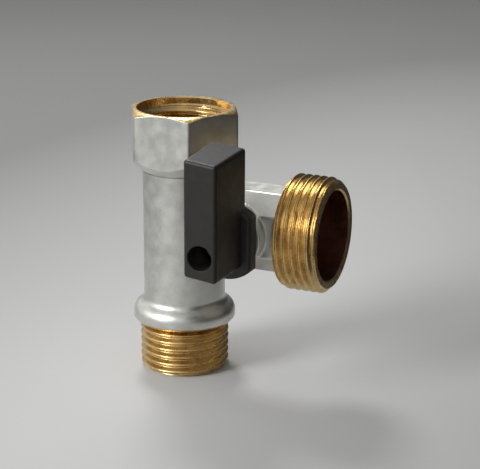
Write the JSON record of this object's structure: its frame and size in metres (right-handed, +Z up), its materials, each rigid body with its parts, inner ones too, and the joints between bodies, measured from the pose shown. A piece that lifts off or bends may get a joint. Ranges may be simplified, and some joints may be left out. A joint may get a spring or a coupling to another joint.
{
  "type": "three-way ball valve",
  "caption": "Plated brass tee valve: an open run with a female and a male thread, and a male side outlet shut by a ball that a black quarter-turn lever moves.",
  "frame": {"origin": "centre of the lower thread's end face, on the axis of the main run", "axes": "+Z up the main run towards the hexagon, +X out along the side branch, and the lever faces -Y"},
  "size_m": [0.051, 0.0411, 0.063],
  "materials": {
    "plated_brass": "satin nickel plate, with raw brass on the machined ends",
    "raw_brass": "machined",
    "bright_chrome": "polished",
    "zinc_steel": "zinc plated",
    "seat_white": "satin",
    "seal_rubber": "matte",
    "moulded_black": "fine moulded satin"
  },
  "bodies": {
    "valve_body": {"body": "plated_brass", "inner_seat": "seat_white", "outer_seat": "seat_white", "seat_retainer": "raw_brass"},
    "turning_group": {"handle": "moulded_black", "handle_screw": "zinc_steel", "stem": "raw_brass", "stem_thrust_washer": "seat_white", "inner_stem_seal": "seal_rubber", "outer_stem_seal": "seal_rubber", "ball": "bright_chrome"}
  },
  "joints": [
    {"name": "handle_turn", "type": "hinge", "parent": "valve_body", "child": "turning_group", "pos_m": [0.017, 0, 0.0368], "axis": [0, -1, 0], "range_deg": [0, 90]}
  ]
}
